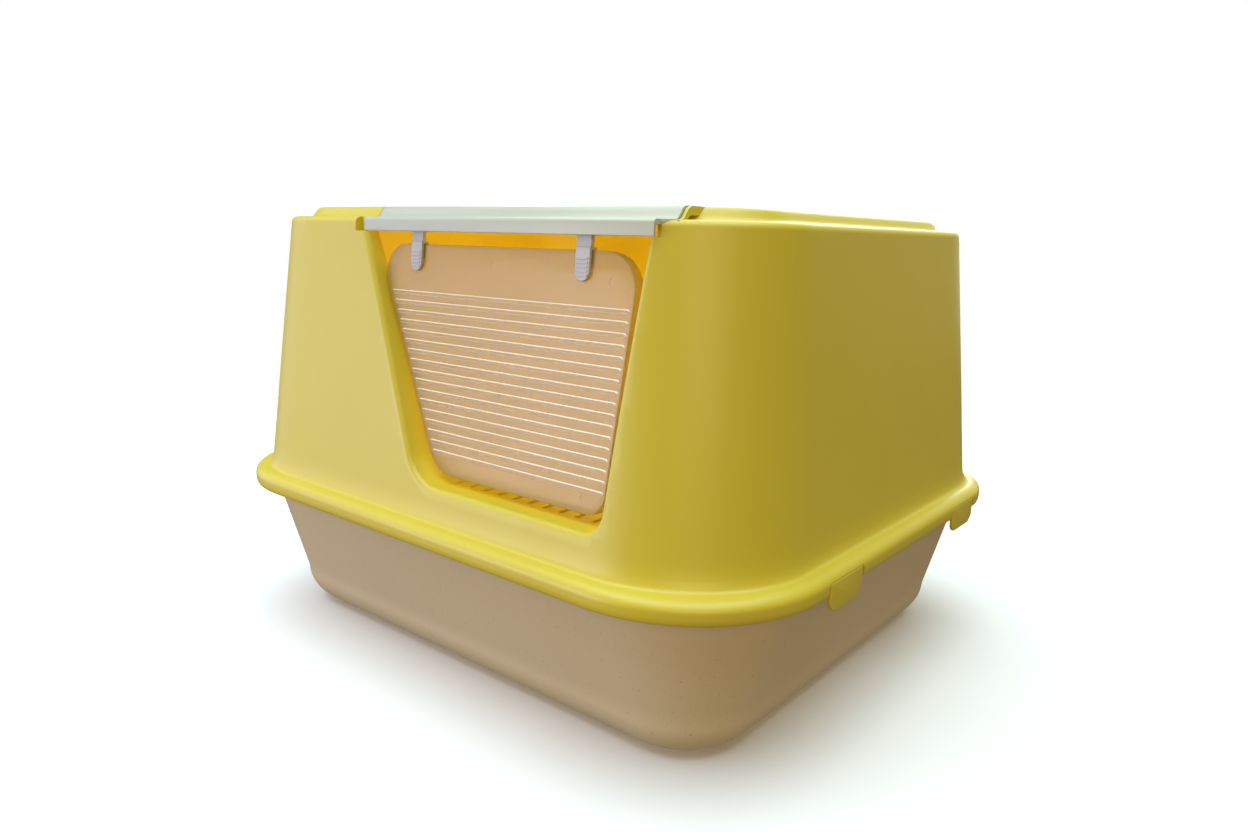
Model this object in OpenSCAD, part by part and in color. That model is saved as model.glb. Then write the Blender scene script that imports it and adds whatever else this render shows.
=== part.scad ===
// Hooded cat litter box: tapered tray, lift-off hood with an entry,
// lifting top lid, see-through swing door hung from the lid, four side latches.
// Frame: X to the right seen from the front, Y to the back, Z up.
// Origin on the floor, under the middle of the box. Millimetres.

/* [Overall] */
// Outer width of the hood flange, left to right
flange_w = 560; // [480:1:640]
// Outer depth of the hood flange, front to back
flange_d = 486.8; // [420:0.1:560]
// Corner radius of the hood flange
flange_r = 104.2; // [60:0.1:140]
// Height of the raised deck, the top of the box
deck_z = 355.4; // [300:0.1:420]

/* [Tray] */
// Outer width of the tray where it meets the flange edge
tray_top_w = 524; // [440:1:540]
// Outer depth of the tray where it meets the flange edge
tray_top_d = 453.8; // [380:0.1:470]
// Outer width of the tray just above its rounded bottom edge
tray_low_w = 478.2; // [400:0.1:520]
// Outer depth of the tray just above its rounded bottom edge
tray_low_d = 400.6; // [330:0.1:440]
// Radius of the rounded bottom edge of the tray
tray_edge_r = 32; // [10:1:45]
// Height of the top of the tray rim
tray_rim_z = 129.4; // [100:0.1:160]
// Wall thickness of the tray
tray_wall = 2.6; // [1.5:0.1:4]

/* [Hood] */
// Height of the bottom edge of the flange bead
flange_low_z = 116.2; // [90:0.1:140]
// Height where the wall leaves the flange bead
wall_low_z = 132.8; // [110:0.1:160]
// Width of the hood wall at the bead
wall_low_w = 532.6; // [450:0.1:550]
// Depth of the hood wall at the bead
wall_low_d = 462; // [380:1:480]
// Height of the top rim of the hood
rim_z = 347.3; // [290:0.1:400]
// Width of the hood at its top rim
rim_w = 496.6; // [420:0.1:540]
// Depth of the hood at its top rim
rim_d = 418; // [350:1:470]
// Corner radius of the hood at its top rim
rim_r = 90; // [50:1:120]
// Wall thickness of the hood
hood_wall = 2.8; // [2:0.1:4]
// Distance from the top rim in to the foot of the raised deck
deck_inset = 14; // [8:0.5:30]
// Run of the curved step up to the raised deck
deck_step = 10.5; // [6:0.5:16]

/* [Entry] */
// Left edge of the entry at its top
entry_top_x0 = -78.7; // [-120:0.1:-40]
// Right edge of the entry at its top
entry_top_x1 = 188.6; // [150:0.1:210]
// Left edge of the entry at the sill
entry_low_x0 = -3.7; // [-60:0.1:30]
// Right edge of the entry at the sill
entry_low_x1 = 173.3; // [120:0.1:200]
// Height of the sill
sill_z = 157.2; // [145:0.1:200]
// How far back the jamb and the sill reach, as a Y position
jamb_y = -199; // [-215:0.5:-185]
// Pitch of the tread grooves across the sill
groove_pitch = 14.7; // [8:0.1:20]

/* [Lid] */
// Left end of the lid
lid_x0 = -86.5; // [-110:0.5:-40]
// Right end of the lid
lid_x1 = 200; // [150:0.5:210]
// Left end of the lid lip
lip_x0 = -83.5; // [-105:0.5:-40]
// Right end of the lid lip
lip_x1 = 194.6; // [150:0.1:205]
// Front face of the lid lip, as a Y position
lid_y0 = -208; // [-215:0.5:-195]
// Rear edge of the lid, as a Y position
lid_y1 = 22; // [-40:1:80]
// Height of the bottom of the lid lip
lip_z = 337.1; // [325:0.1:345]
// Thickness of the lid plate
lid_t = 2.6; // [1.5:0.1:4]
// Radius of each lid hinge pin
pin_r = 1.8; // [1:0.1:2.4]

/* [Door] */
// Height of the door rod
rod_z = 339.4; // [330:0.1:345]
// Y position of the door rod
rod_y = -200.9; // [-206:0.1:-190]
// Radius of the door rod
rod_r = 1.6; // [1:0.1:2]
// Lean of the door, its foot towards the front
door_lean = 4.23; // [0:0.01:8]
// Thickness of the door sheet
door_t = 2; // [1:0.1:3]
// Depth of the rim round the back of the door
door_rim = 8; // [4:0.5:12]
// Number of raised bars across the door
bar_count = 17; // [8:1:24]
// Pitch of the raised bars
bar_pitch = 7.1; // [5:0.1:10]

/* [Latch tabs] */
// Width of each latch tab
tab_w = 46; // [25:1:60]
// Y position of the middle of the front tabs
tab_front_y = -102; // [-150:1:-60]
// Y position of the middle of the rear tabs
tab_rear_y = 115; // [60:1:150]
// Height of the bottom of each tab
tab_low_z = 106; // [98:0.5:112]

/* [Hidden] */
gap = 0.05;
n_arc = 14;
rod_span = [-42, 155];
clip_x = [-25.3, 137.2];
clip_w = 12.2;
clip_drop = 30.6;
hinge_x = [-35, 155];
hinge_y = lid_y1 + 8;
hinge_z = deck_z - 3.8;
knuckle_w = 24;
lid_clear = 0.6;
pocket_x = [-92.5, 195.3];
wall_rise = rim_z - wall_low_z;
tray_shell_c = "#B9AA8E";
hood_c = "#DDCB4E";
lid_c = "#DCE6DC";
clip_c = "#D6D8DE";
door_c = "#E6D2B0";
pin_c = "#C9C9C4";

// ---- shared helpers ----

// One rounded rectangle: half width, half depth, corner radius, height.
function ring(hw, hd, r, z) =
    [for (k = [0:3]) for (i = [0:n_arc])
        let (a = 90 * k + 90 * i / n_arc,
             sx = (k == 0 || k == 3) ? 1 : -1, sy = k < 2 ? 1 : -1)
        [sx * (hw - r) + r * cos(a), sy * (hd - r) + r * sin(a), z]];

function unit(v) = v / norm(v);

function corner_arc(p, c, q, r, n = 8) =
    let (u = unit(p - c), v = unit(q - c), half = acos(u * v) / 2,
         o = c + unit(u + v) * (r / sin(half)),
         s = c + u * (r / tan(half)) - o, e = c + v * (r / tan(half)) - o,
         a0 = atan2(s[1], s[0]), turn = (atan2(e[1], e[0]) - a0 + 540) % 360 - 180)
    [for (i = [0:n]) o + r * [cos(a0 + turn * i / n), sin(a0 + turn * i / n)]];

// Polygon whose corners are rounded: each point is [x, y, radius].
function rounded(pts) =
    let (n = len(pts))
    [for (i = [0:n - 1])
        let (p = pts[(i + n - 1) % n], c = pts[i], q = pts[(i + 1) % n])
        each (c[2] > 0
              ? corner_arc([p[0], p[1]], [c[0], c[1]], [q[0], q[1]], c[2])
              : [[c[0], c[1]]])];

// Skin through a list of rings, closed flat at the first and the last.
module skin(rings) {
    n = len(rings[0]);
    m = len(rings);
    polyhedron(
        points = [for (r = rings) each r],
        faces = concat(
            [[for (i = [0:n - 1]) i]],
            [for (j = [0:m - 2]) for (i = [0:n - 1])
                [j * n + i, (j + 1) * n + i, (j + 1) * n + (i + 1) % n]],
            [for (j = [0:m - 2]) for (i = [0:n - 1])
                [j * n + i, (j + 1) * n + (i + 1) % n, j * n + (i + 1) % n]],
            [[for (i = [n - 1:-1:0]) (m - 1) * n + i]]));
}

// Extrude an X-Z outline along Y, from y0 back to y1.
module along_y(y0, y1) {
    translate([0, y1, 0]) rotate([90, 0, 0]) linear_extrude(y1 - y0) children();
}

// Extrude a Y-Z outline along X, from x0 to x1.
module along_x(x0, x1) {
    translate([x0, 0, 0]) rotate([90, 0, 90]) linear_extrude(x1 - x0) children();
}

module rod_x(x0, x1, r) {
    translate([x0, 0, 0]) rotate([0, 90, 0]) cylinder(h = x1 - x0, r = r, $fn = 48);
}

module block(x, y, z) {
    translate([x[0], y[0], z[0]]) cube([x[1] - x[0], y[1] - y[0], z[1] - z[0]]);
}

// ---- tray ----

function tray_ring(z, off) =
    let (t = (z - tray_edge_r) / (flange_low_z - tray_edge_r))
    ring((tray_low_w + (tray_top_w - tray_low_w) * t) / 2 - off,
         (tray_low_d + (tray_top_d - tray_low_d) * t) / 2 - off,
         58.7 + 30.5 * t - off, z);

function tray_foot(a, off) =
    let (s = (tray_edge_r - off) * (1 - sin(a)) + off)
    ring(tray_low_w / 2 - s, tray_low_d / 2 - s, 58.7 - 0.9 * s,
         off + (tray_edge_r - off) * (1 - cos(a)));

module tray() {
    rim_in = tray_wall;
    color(tray_shell_c)
    skin(concat(
        [for (a = [0:15:90]) tray_foot(a, 0)],
        [for (z = [60, 90, flange_low_z, tray_rim_z - 3]) tray_ring(z, 0)],
        [ring(271.3, 235.4, 97.5, tray_rim_z - 2.6),
         ring(272, 236.1, 98.2, tray_rim_z - 1.9),
         ring(272, 236.1, 98.2, tray_rim_z - 0.7),
         ring(271.3, 235.4, 97.5, tray_rim_z)],
        [tray_ring(tray_rim_z, rim_in - 0.6), tray_ring(tray_rim_z - 1, rim_in)],
        [for (z = [100, 60]) tray_ring(z, rim_in)],
        [for (a = [90:-15:0]) tray_foot(a, tray_wall)]));
}

// ---- hood ----

// t runs from the outermost line of the bead (0) in to the wall (1).
function bead(t, z) =
    ring(flange_w / 2 - (flange_w - wall_low_w) / 2 * t,
         flange_d / 2 - (flange_d - wall_low_d) / 2 * t,
         flange_r - 8.8 * t, z);

function wall(z, off, h = undef) =
    let (t = (z - wall_low_z) / wall_rise)
    ring(wall_low_w / 2 + (rim_w - wall_low_w) / 2 * t - off,
         wall_low_d / 2 + (rim_d - wall_low_d) / 2 * t - off,
         95.4 + (rim_r - 95.4) * t - off, is_undef(h) ? z : h);

function top_ring(inset, z) =
    ring(rim_w / 2 - inset, rim_d / 2 - inset, rim_r - inset, z);

// Curved step from the rim level to the deck: run and rise as fractions.
step_shape = [[0, 0], [0.14, 0.05], [0.29, 0.17], [0.43, 0.38], [0.57, 0.64],
              [0.71, 0.85], [0.86, 0.96], [1, 1]];
step_rise = deck_z - rim_z;
front_foot_y = -rim_d / 2 + deck_inset;

// Height of the hood top along Y behind the front rim.
step_line = [for (s = step_shape)
    [front_foot_y + deck_step * s[0], rim_z + step_rise * s[1]]];

module hood_shell() {
    skin(concat(
        [for (i = [len(step_shape) - 1:-1:0])
            top_ring(deck_inset + deck_step * step_shape[i][0] + 1.2,
                     rim_z + step_rise * step_shape[i][1] - 3)],
        [top_ring(6.8, rim_z - 3), wall(rim_z - 5, hood_wall + 1, rim_z - 3.5),
         wall(rim_z - 6, hood_wall)],
        [for (z = [280, 210, 150, 133]) wall(z, hood_wall)],
        [wall(132, hood_wall, tray_rim_z + 0.5),
         bead(0.7, tray_rim_z + 0.5), bead(0.45, tray_rim_z + 0.1),
         bead(0.27, 127.6), bead(0.2, 125.4), bead(0.2, 121.5),
         bead(0.25, 118.2),
         bead(0.37, flange_low_z)],
        [bead(0.2, flange_low_z), bead(0.06, 117.6), bead(0, 121),
         bead(0, 125.2), bead(0.07, 128), bead(0.25, 130.4), bead(0.5, 131.8),
         bead(0.72, 132.5), bead(0.88, 133.9), bead(0.98, 136.8)],
        [for (z = [142, 210, 280]) wall(z, 0)],
        [for (a = [0:22.5:90])
            wall(rim_z - 5, 5 * (1 - cos(a)), rim_z - 5 + 5 * sin(a))],
        [for (s = step_shape)
            top_ring(deck_inset + deck_step * s[0], rim_z + step_rise * s[1])]));
}

// Outline of the entry; it runs on upwards, open under the lid.
function entry_outline(grow, top) =
    let (l = (entry_low_x0 - entry_top_x0) / (rim_z - 10.3 - sill_z),
         r = (entry_top_x1 - entry_low_x1) / (rim_z - 10.3 - sill_z),
         low = sill_z - grow)
    rounded([[entry_low_x0 - grow * 1.05 + grow * l, low, 32 + grow],
             [entry_low_x1 + grow - grow * r, low, 16 + grow],
             [entry_low_x1 + grow + r * (top - sill_z), top, 0],
             [entry_low_x0 - grow * 1.08 - l * (top - sill_z), top, 0]]);

// Everything well inside the outer skin of the hood.
module inside_skin() {
    skin([wall(135, 0.8), wall(rim_z - 6, 0.8)]);
}

module entry_jamb() {
    intersection() {
        difference() {
            union() {
                along_y(-232, jamb_y) polygon(entry_outline(hood_wall, lip_z - 0.4));
                block([4, 168], [-215, jamb_y + 9], [sill_z - hood_wall, sill_z]);
            }
            along_y(-240, -180) polygon(entry_outline(0, 360));
            for (i = [0:10])
                block([2.7, 7.7] + [1, 1] * i * groove_pitch, [-207, -180],
                      [sill_z - 1.4, sill_z + 1]);
        }
        inside_skin();
    }
}

// Shelf that carries the lid, following the step of the hood top.
function shelf_line(drop, back = 1.5) =
    [for (p = step_line) [p[0] + back, p[1] - drop]];

module lid_shelf(x0, x1, y0, y1, z_up, z_down) {
    along_x(x0, x1)
    intersection() {
        polygon(concat([[-230, rim_z - z_down]], shelf_line(z_down),
                       [[60, deck_z - z_down], [60, deck_z - z_up]],
                       [for (i = [len(step_line) - 1:-1:0])
                           shelf_line(z_up)[i]],
                       [[-230, rim_z - z_up]]));
        translate([y0, 300]) square([y1 - y0, 80]);
    }
}

module lid_seat() {
    x0 = lid_x0 - lid_clear;
    x1 = lid_x1 + lid_clear;
    y1 = lid_y1 + 1.4;
    lid_shelf(x0 - 2.4, x0, -204, y1 + 2.4, 0.5, 5.6);
    lid_shelf(x1, x1 + 2.4, -196, y1 + 2.4, 0.5, 5.6);
    lid_shelf(x0 - 1, x0 + 9, -204, y1 + 2.4, 3, 5.6);
    lid_shelf(x1 - 11, x1 + 1, -196, y1 + 2.4, 3, 5.6);
    lid_shelf(x0 - 1, x1 + 1, y1 - 9, y1 + 2.4, 3, 5.6);
    lid_shelf(x0 - 1, x1 + 1, y1, y1 + 2.4, 0.5, 5.6);
}

// Plan of the recess that the lid and its lip sit in.
function recess_plan() =
    let (x0 = lid_x0 - lid_clear, x1 = lid_x1 + lid_clear, y1 = lid_y1 + 1.4)
    [[pocket_x[0], -240], [pocket_x[0], -204], [x0, -204], [x0, y1], [x1, y1],
     [x1, -196], [pocket_x[1], -201.4], [pocket_x[1], -240]];

// Small corner pockets beside the ends of the lid lip.
module lip_pocket_walls() {
    l = pocket_x[0];
    r = pocket_x[1];
    block([l - 2, -78], [-206.8, -202], [334.2, lip_z - 0.4]);
    block([l - 2, lid_x0 - lid_clear], [-204, -202], [334.2, rim_z - 1]);
    block([l - 2, l], [-206.8, -202], [334.2, rim_z - 1]);
    block([189.5, r + 2], [-200.5, -195], [334.2, lip_z - 0.4]);
    block([189.5, r + 2], [-198, -195], [334.2, rim_z - 3]);
    block([r, r + 2], [-199.4, -196.6], [334.2, rim_z - 3]);
}

module hinge_blocks() {
    for (x = hinge_x) for (s = [-1, 1])
        translate([x + s * (knuckle_w / 2 + 4.5), hinge_y, hinge_z])
        difference() {
            union() {
                rod_x(-4, 4, 3.6);
                block([-4, 4], [-5.6, 3.6], [-4.6, 0]);
                block([-4, 4], [-5.6, 5], [0, 1.5]);
            }
            rod_x(-5, 5, pin_r + gap);
        }
}

module tab_window(y, s) {
    x0 = s > 0 ? 275.4 : -282;
    block([x0, x0 + 6.6], [y - tab_w / 2 - 2.4, y + tab_w / 2 + 2.4], [110, 124.6]);
    block([x0, x0 + 6.6], [y - tab_w / 2 - 0.5, y + tab_w / 2 + 0.5], [120, 126.4]);
}

module hood() {
    y1 = lid_y1 + 1.4;
    color(hood_c)
    difference() {
        union() {
            difference() {
                union() {
                    hood_shell();
                    entry_jamb();
                }
                along_y(-240, -170) polygon(entry_outline(0, lip_z - 0.4));
                // seat of the lid, and the opening inside it
                intersection() {
                    along_x(-100, 210)
                    polygon(concat([[-240, lip_z - 0.4], [-204, lip_z - 0.4],
                                    [-204, rim_z - 3]], shelf_line(3),
                                   [[y1, deck_z - 3], [y1, 380], [-240, 380]]));
                    translate([0, 0, 320]) linear_extrude(60) polygon(recess_plan());
                }
                block([-78, 189.5], [-240, y1 - 9], [lip_z - 0.4, 380]);
                // pocket beside the right end of the lip
                block([150, pocket_x[1]], [-240, -198], [lip_z - 0.4, 380]);
                for (x = hinge_x)
                    block([x - knuckle_w / 2 - 0.5, x + knuckle_w / 2 + 0.5],
                          [y1 - 1, hinge_y + 4.8], [300, 380]);
            }
            lid_seat();
            lip_pocket_walls();
            hinge_blocks();
        }
        for (x = hinge_x) {
            block([x - knuckle_w / 2 - 0.5, x + knuckle_w / 2 + 0.5],
                  [y1 - 12, hinge_y + 4.8], [deck_z - 12, 380]);
            translate([0, hinge_y, hinge_z])
                rod_x(x - knuckle_w / 2 - 8, x + knuckle_w / 2 + 8, pin_r + gap);
        }
        for (y = [tab_front_y, tab_rear_y]) for (s = [-1, 1]) tab_window(y, s);
    }
}

// ---- lid, its hinge pins and the door rod ----

function lid_section() = concat(
    [[lid_y0 + 1.8, lip_z], [lid_y0 + 0.5, lip_z], [lid_y0, lip_z + 0.5]],
    [for (a = [0:22.5:90])
        [lid_y0 + 2 - 2 * cos(a), rim_z - 2 + 2 * sin(a)]],
    step_line, [[lid_y1, deck_z], [lid_y1, deck_z - lid_t]],
    [for (i = [len(step_line) - 1:-1:0])
        [step_line[i][0] + 1.1, step_line[i][1] - lid_t]],
    [[lid_y0 + 1.8, rim_z - lid_t]]);

module rod_ear(x) {
    translate([x - 1.5, rod_y, rod_z])
    difference() {
        union() {
            rod_x(0, 3, 2.6);
            block([0, 3], [-2.6, 2.6], [0, rim_z - rod_z - 1.5]);
        }
        rod_x(-1, 4, rod_r + gap);
    }
}

module lid() {
    color(lid_c) {
        difference() {
            union() {
                along_x(lid_x0, lid_x1) polygon(lid_section());
                for (x = hinge_x) {
                    block([x - knuckle_w / 2, x + knuckle_w / 2],
                          [lid_y1 - 1, hinge_y], [deck_z - lid_t, deck_z - 0.2]);
                    translate([0, hinge_y, hinge_z])
                        rod_x(x - knuckle_w / 2, x + knuckle_w / 2, 3.6);
                }
            }
            translate([0, hinge_y, hinge_z]) rod_x(-90, 205, pin_r + gap);
            // the lip is a little shorter than the plate
            translate([0, 0, 330]) linear_extrude(30) {
                polygon([[lip_x0, -212], [lip_x0, -203.4], [lid_x0 - 1, -203.4],
                         [lid_x0 - 1, -212]]);
                polygon([[lip_x1, -212], [lip_x1, -201.6], [lid_x1, -196.6],
                         [lid_x1 + 1, -196.6], [lid_x1 + 1, -212]]);
            }
        }
        for (c = clip_x) for (s = [-1, 1]) rod_ear(c + s * 8.7);
    }
}

module lid_hinge_pin(x) {
    color(pin_c)
    translate([0, hinge_y, hinge_z])
        rod_x(x - knuckle_w / 2 - 7.5, x + knuckle_w / 2 + 7.5, pin_r);
}

module lid_hinge_pin_left() { lid_hinge_pin(hinge_x[0]); }

module lid_hinge_pin_right() { lid_hinge_pin(hinge_x[1]); }

module door_hinge_rod() {
    color(pin_c)
    translate([0, rod_y, rod_z]) rod_x(rod_span[0], rod_span[1], rod_r);
}

// ---- door and its clips, drawn from the rod axis and leaned as one ----

module at_door() {
    translate([0, rod_y, rod_z]) rotate([-door_lean, 0, 0]) children();
}

// Door outline: heights are measured down from the rod.
function door_outline(shrink) =
    let (top = -11.4 - shrink, low = -176.2 + shrink)
    rounded([[3 + shrink * 0.72, low, max(28 - shrink, 2)],
             [165.2 - shrink * 1.05, low, max(16 - shrink, 2)],
             [181.4 - shrink, top, max(24 - shrink, 2)],
             [-76 + shrink * 1.45, top, max(22 - shrink, 2)]]);

module door_bar(i) {
    z = -44.6 - i * bar_pitch - 2.3;
    x0 = -76 + 0.479 * (-11.4 - z) + 5.3;
    x1 = 181.4 - 0.0985 * (-11.4 - z) - 3.5;
    along_y(-0.9, 0.2) {
        translate([x0, z - 2.3]) square([x1 - x0, 4.6]);
        translate([x0, z]) circle(r = 2.3, $fn = 24);
        translate([x1, z]) circle(r = 2.3, $fn = 24);
    }
}

module door_panel() {
    color(door_c)
    at_door()
    difference() {
        union() {
            along_y(-0.2, door_t - 0.2) polygon(door_outline(0));
            difference() {
                along_y(-0.2, door_rim) polygon(door_outline(0));
                along_y(-1, door_rim + 1) polygon(door_outline(1.8));
            }
            for (i = [0:bar_count - 1]) door_bar(i);
        }
        for (c = clip_x)
            block([c - clip_w / 2 - 0.6, c + clip_w / 2 + 0.6],
                  [door_t - 0.2, door_rim + 1], [-26, -11]);
    }
}

module door_clip(x) {
    w = clip_w / 2;
    color(clip_c)
    at_door()
    translate([x, 0, 0])
    difference() {
        union() {
            rod_x(-w, w, 3);
            block([-w, w], [-1.2, 1.2], [-11.2, 0]);
            block([-w, w], [-2.6, 4.1], [-11.2, -9.6]);
            block([-w, w], [-1.9, -0.25], [-10, 0]);
            block([-w, w], [-2.6, -0.25], [w - clip_drop, -9.6]);
            translate([0, -0.25, w - clip_drop]) rotate([90, 0, 0])
                cylinder(h = 2.35, r = w, $fn = 48);
            block([-w, w], [door_t - 0.1, 4.1], [-22, -9.6]);
            for (i = [0:4])
                block([-w + 1.8, w - 1.8], [-3.2, -2.4],
                      [-27.6 + i * 2.6, -26.3 + i * 2.6]);
        }
        rod_x(-w - 1, w + 1, rod_r + gap);
    }
}

module door_clip_left() { door_clip(clip_x[0]); }

module door_clip_right() { door_clip(clip_x[1]); }

// ---- latch tabs ----

// Drawn for the right side: a hanging plate, rounded at its front foot.
module latch_tab(y) {
    h = 124.65 - tab_low_z;
    x = flange_w / 2;
    color(hood_c)
    difference() {
        union() {
            block([x - 2.5, x], [y - tab_w / 2 + 8, y + tab_w / 2 - 7],
                  [tab_low_z, tab_low_z + h]);
            block([x - 2.5, x], [y - tab_w / 2, y + tab_w / 2],
                  [tab_low_z + 8, tab_low_z + h]);
            translate([x - 1.25, y + tab_w / 2, tab_low_z + h]) rotate([90, 0, 0])
                cylinder(h = tab_w, r = 1.25, $fn = 32);
            translate([x - 2.5, y - tab_w / 2 + 8, tab_low_z + 8])
                rod_x(0, 2.5, 8);
            along_x(x - 2.5, x)
                polygon([[y + tab_w / 2 - 8, tab_low_z], [y + tab_w / 2 - 7, tab_low_z],
                         [y + tab_w / 2, tab_low_z + 5], [y + tab_w / 2, tab_low_z + 9],
                         [y + tab_w / 2 - 8, tab_low_z + 9]]);
        }
    }
}

module latch_tab_front_right() { latch_tab(tab_front_y); }

module latch_tab_rear_right() { latch_tab(tab_rear_y); }

module latch_tab_front_left() { mirror([1, 0, 0]) latch_tab(tab_front_y); }

module latch_tab_rear_left() { mirror([1, 0, 0]) latch_tab(tab_rear_y); }

tray();
hood();
lid();
lid_hinge_pin_left();
lid_hinge_pin_right();
door_panel();
door_clip_left();
door_clip_right();
door_hinge_rod();
latch_tab_front_right();
latch_tab_rear_right();
latch_tab_front_left();
latch_tab_rear_left();
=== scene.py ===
"""Hooded cat litter box: the finished looks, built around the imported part."""

from __future__ import annotations

import logging
import math
from dataclasses import dataclass, field
from enum import Enum

import bmesh
import bpy
from mathutils import Matrix, Vector


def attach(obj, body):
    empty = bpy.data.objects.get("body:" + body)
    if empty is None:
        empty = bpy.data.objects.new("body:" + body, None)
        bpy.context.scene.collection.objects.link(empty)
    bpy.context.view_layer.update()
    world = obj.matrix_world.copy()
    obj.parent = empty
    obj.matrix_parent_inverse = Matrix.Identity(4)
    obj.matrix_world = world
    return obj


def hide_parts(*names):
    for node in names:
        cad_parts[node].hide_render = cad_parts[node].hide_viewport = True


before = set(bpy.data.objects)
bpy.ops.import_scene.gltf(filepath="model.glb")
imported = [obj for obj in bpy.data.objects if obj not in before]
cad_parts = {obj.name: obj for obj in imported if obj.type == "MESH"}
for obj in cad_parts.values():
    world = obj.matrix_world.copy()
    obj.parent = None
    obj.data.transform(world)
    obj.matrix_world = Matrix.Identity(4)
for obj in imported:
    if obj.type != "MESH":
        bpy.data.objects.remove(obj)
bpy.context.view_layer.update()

log = logging.getLogger("litter_box")
MM = 0.001
Colour = tuple[float, float, float]
Spot = tuple[float, float, float]
Span = tuple[float, float]
Line = list[tuple[float, float]]


class Side(Enum):
    """The right and left sides of the box, which carry the latch tabs."""

    RIGHT = 1
    LEFT = -1


# ---------------------------------------------------------------- finishes


@dataclass(frozen=True)
class PlasticFinish:
    """A moulded plastic: its colour, gloss, fine grain and faint unevenness."""

    name: str
    colour: Colour
    second: Colour
    roughness: float
    roughness_spread: float = 0.07
    cloud_scale: float = 9.0
    rub_scale: float = 26.0
    wave_scale: float = 7.0
    grain_scale: float = 1400.0
    grain_depth: float = 0.00004
    waviness: float = 0.0002
    specks: Colour | None = None
    speck_scale: float = 620.0
    speck_range: Span = (0.70, 0.78)
    speck_weight: float = 0.55
    transmission: float = 0.0
    specular: float = 0.5
    coat: float = 0.0
    coat_roughness: float = 0.25
    metallic: float = 0.0
    stretch: Spot = (1.0, 1.0, 1.0)

    def build(self) -> bpy.types.Material:
        """Make the node material.

        Returns:
            The finished material.
        """
        mat = bpy.data.materials.new(self.name)
        mat.use_nodes = True
        nodes, links = mat.node_tree.nodes, mat.node_tree.links
        shader = nodes["Principled BSDF"]
        shader.inputs["Metallic"].default_value = self.metallic
        shader.inputs["Specular IOR Level"].default_value = self.specular
        shader.inputs["Coat Weight"].default_value = self.coat
        shader.inputs["Coat Roughness"].default_value = self.coat_roughness
        shader.inputs["Transmission Weight"].default_value = self.transmission
        place = nodes.new("ShaderNodeTexCoord")
        mapping = nodes.new("ShaderNodeMapping")
        mapping.inputs["Scale"].default_value = self.stretch
        links.new(place.outputs["Object"], mapping.inputs["Vector"])

        def noise(scale: float, detail: float) -> bpy.types.Node:
            """Add a noise texture on the piece's own coordinates."""
            node = nodes.new("ShaderNodeTexNoise")
            node.inputs["Scale"].default_value = scale
            node.inputs["Detail"].default_value = detail
            links.new(mapping.outputs["Vector"], node.inputs["Vector"])
            return node

        cloud = noise(self.cloud_scale, 3.0)
        tint = nodes.new("ShaderNodeMix")
        tint.data_type = "RGBA"
        tint.inputs["A"].default_value = (*self.colour, 1.0)
        tint.inputs["B"].default_value = (*self.second, 1.0)
        links.new(cloud.outputs["Fac"], tint.inputs["Factor"])
        colour_out = tint.outputs["Result"]
        if self.specks is not None:
            dots = noise(self.speck_scale, 1.0)
            pick = nodes.new("ShaderNodeMapRange")
            pick.inputs["From Min"].default_value = self.speck_range[0]
            pick.inputs["From Max"].default_value = self.speck_range[1]
            pick.inputs["To Max"].default_value = self.speck_weight
            links.new(dots.outputs["Fac"], pick.inputs["Value"])
            speck = nodes.new("ShaderNodeMix")
            speck.data_type = "RGBA"
            speck.inputs["B"].default_value = (*self.specks, 1.0)
            links.new(pick.outputs["Result"], speck.inputs["Factor"])
            links.new(colour_out, speck.inputs["A"])
            colour_out = speck.outputs["Result"]
        links.new(colour_out, shader.inputs["Base Color"])

        rub = noise(self.rub_scale, 4.0)
        gloss = nodes.new("ShaderNodeMapRange")
        low, high = (self.roughness - self.roughness_spread,
                     self.roughness + self.roughness_spread)
        gloss.inputs["To Min"].default_value = low
        gloss.inputs["To Max"].default_value = high
        links.new(rub.outputs["Fac"], gloss.inputs["Value"])
        links.new(gloss.outputs["Result"], shader.inputs["Roughness"])

        def bump(height: bpy.types.Node, strength: float,
                 depth: float) -> bpy.types.Node:
            """Add a bump that reads its height from a noise texture."""
            node = nodes.new("ShaderNodeBump")
            node.inputs["Strength"].default_value = strength
            node.inputs["Distance"].default_value = depth
            links.new(height.outputs["Fac"], node.inputs["Height"])
            return node

        wave_bump = bump(noise(self.wave_scale, 1.0), 0.5, self.waviness)
        grain_bump = bump(noise(self.grain_scale, 2.0), 0.6, self.grain_depth)
        links.new(wave_bump.outputs["Normal"], grain_bump.inputs["Normal"])
        links.new(grain_bump.outputs["Normal"], shader.inputs["Normal"])
        return mat


HOOD_FINISH = PlasticFinish(
    "hood_yellow_plastic", (0.61, 0.505, 0.026), (0.65, 0.54, 0.034), 0.44,
    specular=0.7, coat=0.1)
TRAY_FINISH = PlasticFinish(
    "tray_beige_plastic", (0.68, 0.575, 0.37), (0.72, 0.61, 0.40), 0.44,
    specks=(0.30, 0.20, 0.12), specular=0.8, coat=0.4)
LID_FINISH = PlasticFinish(
    "lid_mint_plastic", (0.49, 0.515, 0.41), (0.52, 0.55, 0.45), 0.36,
    grain_scale=1800.0, grain_depth=0.00002, specular=0.7)
DOOR_FINISH = PlasticFinish(
    "door_frosted_plastic", (0.70, 0.57, 0.18), (0.72, 0.595, 0.20), 0.34,
    grain_scale=900.0, grain_depth=0.000004, waviness=0.00005,
    transmission=0.72, specular=0.7)
# The bars' whiter finish is a painted highlight: it stands in for light caught on
# their sloped edges.
BAR_HIGHLIGHT_FINISH = PlasticFinish(
    "door_bar_painted_highlight", (0.86, 0.80, 0.72), (0.88, 0.83, 0.76), 0.28,
    grain_scale=900.0, grain_depth=0.000004, waviness=0.00005,
    transmission=0.05, specular=0.9)
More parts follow.
